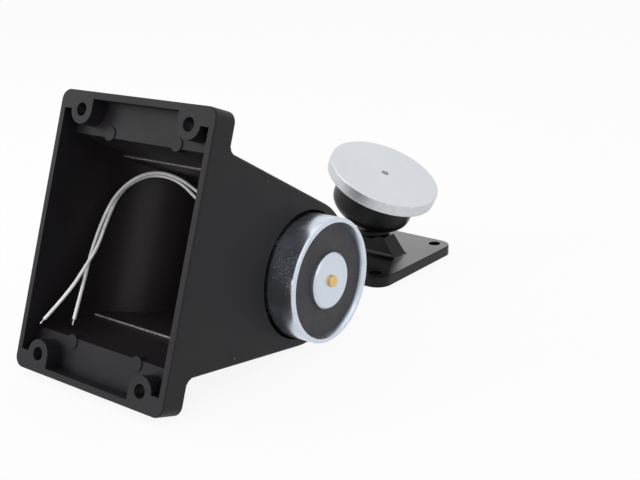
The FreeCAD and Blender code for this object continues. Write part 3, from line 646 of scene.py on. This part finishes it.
def make_surround(strength):
    """A white studio all round, which lights the object with the given strength."""
    world = bpy.data.worlds.new("white studio")
    bpy.context.scene.world = world
    world.use_nodes = True
    tree = world.node_tree
    light = tree.nodes["Background"]
    light.inputs["Color"].default_value = (1, 1, 1, 1)
    light.inputs["Strength"].default_value = strength
    shown = add(tree, "ShaderNodeBackground", {"Color": (1, 1, 1, 1), "Strength": 1.0})
    mixed = add(tree, "ShaderNodeMixShader", {
        0: seen_directly(tree), 1: light.outputs[0], 2: shown.outputs[0]})
    tree.links.new(mixed.outputs[0], tree.nodes["World Output"].inputs["Surface"])


def add_lamp(name, power, side, place, target):
    """A square soft lamp that faces its target."""
    lamp = bpy.data.lights.new(name, "AREA")
    lamp.energy = power
    lamp.shape = "SQUARE"
    lamp.size = side
    holder = bpy.data.objects.new(name, lamp)
    bpy.context.scene.collection.objects.link(holder)
    holder.location = place
    holder.rotation_euler = (Vector(target) - Vector(place)).to_track_quat("-Z", "Y").to_euler()


class DOORHOLDER_OT_leads(bpy.types.Operator):
    """Makes the two insulated leads from the grommet to their stripped ends"""
    bl_idname = "door_holder.leads"
    bl_label = "Leads"

    def execute(self, context):
        leads = context.scene.holder_leads
        jacket = plain_finish("lead jacket", context.scene.holder_finish.jacket, 0.42,
                              grain_size=0.004, depth=0.05)
        core = plain_finish("tinned core", (0.72, 0.72, 0.72), 0.3, metallic=1.0, depth=0.1)
        for letter, route, length in (("a", LEAD_A_ROUTE, LEAD_A_LENGTH),
                                      ("b", LEAD_B_ROUTE, LEAD_B_LENGTH)):
            points = [on_table(point) for point in route]
            tip = make_core(letter, points, leads, core)
            make_lead(letter, points, leads, jacket)
        return {"FINISHED"}


def make_lead(letter, points, leads, jacket):
    """The insulated part of one lead, on a smooth line along its route."""
    curve = bpy.data.curves.new("lead_%s_jacket" % letter, "CURVE")
    curve.dimensions = "3D"
    line = curve.splines.new("NURBS")
    line.points.add(len(points) - 1)
    for held, point in zip(line.points, points):
        held.co = (*point, 1.0)
    line.order_u = 3
    line.use_endpoint_u = True
    line.resolution_u = 12
    curve.bevel_depth = leads.jacket_diameter / 2
    curve.bevel_resolution = 5
    curve.use_fill_caps = True
    curve.materials.append(jacket)
    lead = bpy.data.objects.new("lead_%s_jacket" % letter, curve)
    bpy.context.scene.collection.objects.link(lead)
    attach(lead, "units")
    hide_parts("lead_" + letter)


def strand_tree():
    """Node tree that lays strands round a straight one and twists them."""
    tree = bpy.data.node_groups.new("twisted strands", "GeometryNodeTree")
    face = tree.interface
    for label, kind in (("Length", "Float"), ("Strand radius", "Float"), ("Outer strands", "Int"),
                        ("Turns", "Float"), ("Place", "Vector"), ("Turn", "Rotation"),
                        ("Material", "Material")):
        face.new_socket(label, in_out="INPUT", socket_type="NodeSocket" + kind)
    face.new_socket("Geometry", in_out="OUTPUT", socket_type="NodeSocketGeometry")
    given = add(tree, "NodeGroupInput").outputs
    ring = calc(tree, "MULTIPLY", given["Strand radius"], 2.0)
    helix = add(tree, "GeometryNodeCurveSpiral", {
        "Resolution": 24, "Rotations": given["Turns"], "Start Radius": ring, "End Radius": ring,
        "Height": given["Length"]})
    spots = add(tree, "GeometryNodeMeshLine", {
        "Count": given["Outer strands"], "Offset": (0, 0, 0)})
    index = add(tree, "GeometryNodeInputIndex")
    angle = calc(tree, "DIVIDE", calc(tree, "MULTIPLY", index.outputs[0], math.tau),
                 given["Outer strands"])
    turned = add(tree, "ShaderNodeCombineXYZ", {"Z": angle})
    strands = add(tree, "GeometryNodeInstanceOnPoints", {
        "Points": spots.outputs["Mesh"], "Instance": helix.outputs["Curve"],
        "Rotation": turned.outputs[0]})
    outer = add(tree, "GeometryNodeRealizeInstances", {"Geometry": strands.outputs["Instances"]})
    end = add(tree, "ShaderNodeCombineXYZ", {"Z": given["Length"]})
    middle = add(tree, "GeometryNodeCurvePrimitiveLine", {"End": end.outputs[0]})
    bundle = add(tree, "GeometryNodeJoinGeometry")
    tree.links.new(outer.outputs[0], bundle.inputs[0])
    tree.links.new(middle.outputs[0], bundle.inputs[0])
    section = add(tree, "GeometryNodeCurvePrimitiveCircle", {
        "Resolution": 12, "Radius": given["Strand radius"]})
    wire = add(tree, "GeometryNodeCurveToMesh", {
        "Curve": bundle.outputs[0], "Profile Curve": section.outputs["Curve"], "Fill Caps": True})
    placed = add(tree, "GeometryNodeTransform", {
        "Geometry": wire.outputs[0], "Translation": given["Place"], "Rotation": given["Turn"]})
    whole = add(tree, "GeometryNodeRealizeInstances", {"Geometry": placed.outputs[0]})
    dressed = add(tree, "GeometryNodeSetMaterial", {
        "Geometry": whole.outputs[0], "Material": given["Material"]})
    result = add(tree, "NodeGroupOutput")
    tree.links.new(dressed.outputs[0], result.inputs["Geometry"])
    return tree


def grown(name, tree, values):
    """The plain mesh object that a node tree grows from the given values."""
    seed = bpy.data.objects.new(name, bpy.data.meshes.new(name))
    bpy.context.scene.collection.objects.link(seed)
    modifier = seed.modifiers.new("grow", "NODES")
    modifier.node_group = tree
    ids = {item.name: item.identifier for item in tree.interface.items_tree
           if item.in_out == "INPUT"}
    for label, value in values.items():
        modifier[ids[label]] = value
    seen = seed.evaluated_get(bpy.context.evaluated_depsgraph_get())
    mesh = bpy.data.meshes.new_from_object(seen)
    seed.modifiers.remove(modifier)
    seed.data = mesh
    for face in mesh.polygons:
        face.use_smooth = True
    return seed


def make_core(letter, points, leads, material):
    """The stripped, tinned end of one lead."""
    tree = bpy.data.node_groups.get("twisted strands") or strand_tree()
    way = (points[-1] - points[-2]).normalized()
    turn = way.to_track_quat("Z", "X").to_euler()
    core = grown("lead_%s_core" % letter, tree, {
        "Length": leads.tip_length, "Strand radius": leads.strand_diameter / 2,
        "Outer strands": leads.strand_ring, "Turns": leads.strand_turns,
        "Place": points[-1], "Turn": turn, "Material": material})
    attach(core, "units")
    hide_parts("lead_tip_" + letter)
    return core


class DOORHOLDER_OT_housing(bpy.types.Operator):
    """Finishes the moulded housing of the wall unit and its cable grommet"""
    bl_idname = "door_holder.housing"
    bl_label = "Housing"

    def execute(self, context):
        dress("housing", housing_moulding())
        dress("lead_grommet", plain_finish("grommet rubber", (0.012, 0.012, 0.012), 0.6))
        return {"FINISHED"}


class DOORHOLDER_OT_magnet(bpy.types.Operator):
    """Finishes the pot magnet: cup, pole, resin, coil and release pin"""
    bl_idname = "door_holder.magnet"
    bl_label = "Pot Magnet"

    def execute(self, context):
        settings = context.scene.holder_finish
        cup = bevelled_cup(context.scene.holder_magnet.bevel_width)
        cup.data.materials.clear()
        cup.data.materials.append(cup_zinc())
        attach(cup, "units")
        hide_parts("magnet_cup")
        dress("pole_core", plated_steel(
            "zinc on the pole", settings.zinc, magnet_middle(), MAGNET_TURN,
            0.3, 0.00025, 0.0, POLE_RIM_RADIUS))
        dress("potting_ring", cast_resin())
        dress("coil_bobbin", plain_finish("bobbin nylon", (0.6, 0.58, 0.52), 0.5))
        dress("coil_winding", plain_finish("enamelled copper", (0.6, 0.25, 0.1), 0.3, 1.0))
        dress("release_pin", plain_finish("turned brass", settings.brass, 0.22, 1.0, 0.001, 0.1))
        squeezed_spring(plain_finish("spring wire", (0.55, 0.55, 0.56), 0.25, 1.0))
        return {"FINISHED"}


def merged_copy(name, node_name):
    """A copy of a piece that comes with the frame, with its loose triangles joined."""
    piece = bpy.data.objects.new(name, frame["nodes"][node_name].data.copy())
    bpy.context.scene.collection.objects.link(piece)
    shape = bmesh.new()
    shape.from_mesh(piece.data)
    bmesh.ops.remove_doubles(shape, verts=shape.verts, dist=MERGE_DISTANCE)
    shape.to_mesh(piece.data)
    shape.free()
    return piece


def smooth_curves(piece, degrees):
    """Smooth shading, apart from edges that turn by more than the given angle."""
    for face in piece.data.polygons:
        face.use_smooth = True
    piece.data.set_sharp_from_angle(angle=math.radians(degrees))


def squeezed_spring(material):
    """The release pin's spring, a smooth-shaded copy of the frame's piece."""
    coil = merged_copy("spring_coil", "pin_spring")
    smooth_curves(coil, 60)
    coil.data.materials.clear()
    coil.data.materials.append(material)
    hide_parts("pin_spring")
    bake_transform(coil)


def bevelled_cup(width):
    """The magnet's cup with the bevel that opens its mouth down to the resin."""
    piece = merged_copy("cup_body", "magnet_cup")
    shape = bmesh.new()
    shape.from_mesh(piece.data)
    front = max(corner.co.x for corner in shape.verts)
    everything = list(shape.verts) + list(shape.edges) + list(shape.faces)
    bmesh.ops.bisect_plane(shape, geom=everything, dist=0.000001, plane_no=(1, 0, 0),
                           plane_co=(front - CUP_BEVEL_DEPTH, 0, 0))
    middle = magnet_middle()
    for corner in shape.verts:
        away = corner.co - Vector((corner.co.x, middle.y, middle.z))
        on_face = corner.co.x > front - FACE_NEARNESS
        if on_face and abs(away.length - CUP_BORE_RADIUS) < BORE_NEARNESS:
            corner.co += away.normalized() * width
    shape.to_mesh(piece.data)
    shape.free()
    smooth_curves(piece, 18)
    return piece


class DOORHOLDER_OT_fixings(bpy.types.Operator):
    """Finishes the screws and washers of both units"""
    bl_idname = "door_holder.fixings"
    bl_label = "Screws and Washers"

    def execute(self, context):
        screw_zinc = plain_finish("zinc on the screws", (0.58, 0.58, 0.56), 0.3, 1.0, 0.0012, 0.2)
        for name in ("magnet_screw", "flat_washer", "lock_washer", "disc_screws"):
            dress(name, screw_zinc)
        return {"FINISHED"}


class DOORHOLDER_OT_keeper(bpy.types.Operator):
    """Finishes the keeper's plate, stud, ball and bowl"""
    bl_idname = "door_holder.keeper"
    bl_label = "Keeper"

    def execute(self, context):
        dress("keeper_base", keeper_moulding("keeper moulding", True))
        dress("swivel_head", keeper_moulding("bowl moulding", False))
        dress("ball_retainer", plain_finish("retainer nylon", (0.012, 0.012, 0.012), 0.45))
        steel = plain_finish("turned steel", (0.5, 0.5, 0.5), 0.28, 1.0, 0.001, 0.15)
        dress("ball_stud", steel)
        dress("pivot_ball", steel)
        return {"FINISHED"}


class DOORHOLDER_OT_armature(bpy.types.Operator):
    """Finishes the armature disc that the magnet holds"""
    bl_idname = "door_holder.armature"
    bl_label = "Armature Disc"

    def execute(self, context):
        colour = context.scene.holder_finish.disc_zinc
        dress("armature_disc", plated_steel(
            "zinc on the disc", colour, BALL_MIDDLE, (0, HEAD_LEAN, KEEPER_YAW),
            0.36, 0.0004, 1.0, DISC_RIM_RADIUS))
        return {"FINISHED"}


class DOORHOLDER_PT_panel(bpy.types.Panel):
    """Sizes, colours and steps of the door holder"""
    bl_label = "Door Holder"
    bl_idname = "DOORHOLDER_PT_panel"
    bl_space_type = "VIEW_3D"
    bl_region_type = "UI"
    bl_category = "Door Holder"

    def draw(self, context):
        layout = self.layout
        for group in (context.scene.holder_finish, context.scene.holder_leads,
                      context.scene.holder_magnet, context.scene.holder_studio):
            box = layout.box()
            for name in group.bl_rna.properties.keys():
                if name not in ("name", "rna_type"):
                    box.prop(group, name)
        for step in STEPS:
            layout.operator(step.bl_idname)


STEPS = (DOORHOLDER_OT_stage, DOORHOLDER_OT_leads, DOORHOLDER_OT_housing, DOORHOLDER_OT_magnet,
         DOORHOLDER_OT_fixings, DOORHOLDER_OT_keeper, DOORHOLDER_OT_armature)
CLASSES = (HolderFinish, HolderLeads, HolderMagnet, HolderStudio, *STEPS, DOORHOLDER_PT_panel)


def register():
    for made in CLASSES:
        bpy.utils.register_class(made)
    bpy.types.Scene.holder_finish = PointerProperty(type=HolderFinish)
    bpy.types.Scene.holder_leads = PointerProperty(type=HolderLeads)
    bpy.types.Scene.holder_magnet = PointerProperty(type=HolderMagnet)
    bpy.types.Scene.holder_studio = PointerProperty(type=HolderStudio)


def unregister():
    del bpy.types.Scene.holder_studio
    del bpy.types.Scene.holder_magnet
    del bpy.types.Scene.holder_leads
    del bpy.types.Scene.holder_finish
    for made in reversed(CLASSES):
        bpy.utils.unregister_class(made)


def main():
    register()
    for step in STEPS:
        family, name = step.bl_idname.split(".")
        getattr(getattr(bpy.ops, family), name)()


if __name__ == "__main__":
    main()
